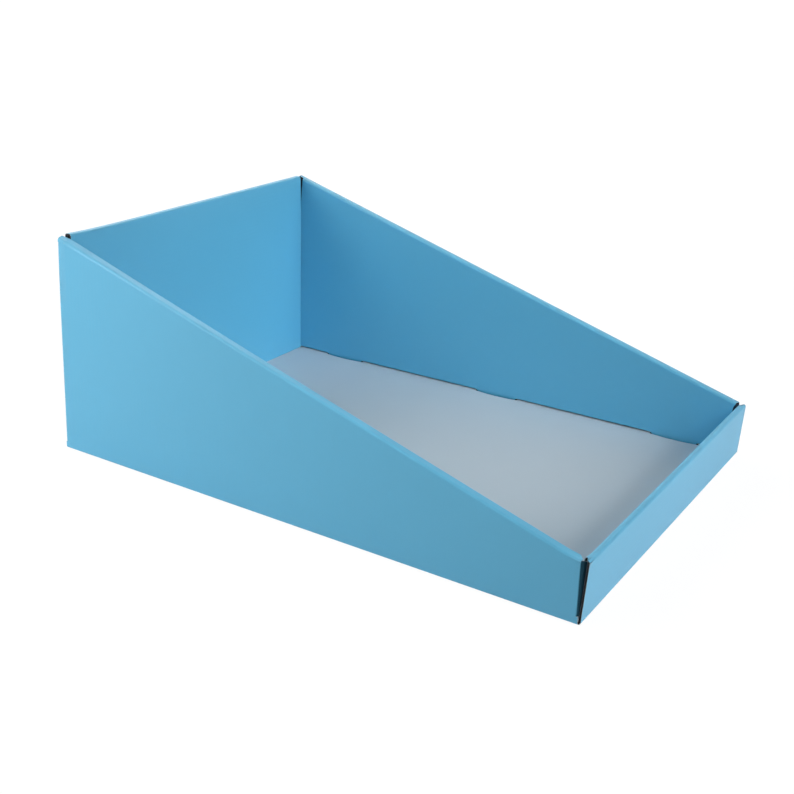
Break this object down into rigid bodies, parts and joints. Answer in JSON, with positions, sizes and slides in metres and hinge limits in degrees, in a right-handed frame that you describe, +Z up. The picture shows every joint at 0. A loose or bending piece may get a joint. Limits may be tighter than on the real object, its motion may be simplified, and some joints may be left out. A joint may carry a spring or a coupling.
{
  "type": "cardboard display tray",
  "caption": "Folded fluted-board counter display tray with rolled double walls, sides that slope from a tall back down to a low front lip, and inner side panels locked into the base by tabs.",
  "frame": {"origin": "middle of the tray's outline on the surface it stands on", "axes": "+X across the tray to the right as seen from the lip, +Y along the tray from the lip to the back wall, +Z up"},
  "size_m": [0.28, 0.4018, 0.155],
  "materials": {
    "printed_board": "fluted board, light blue print with a soft gloss on one side, unprinted pale grey liner on the other, cream cut edges"
  },
  "bodies": {
    "root": {"display_tray": "printed_board"}
  },
  "joints": []
}
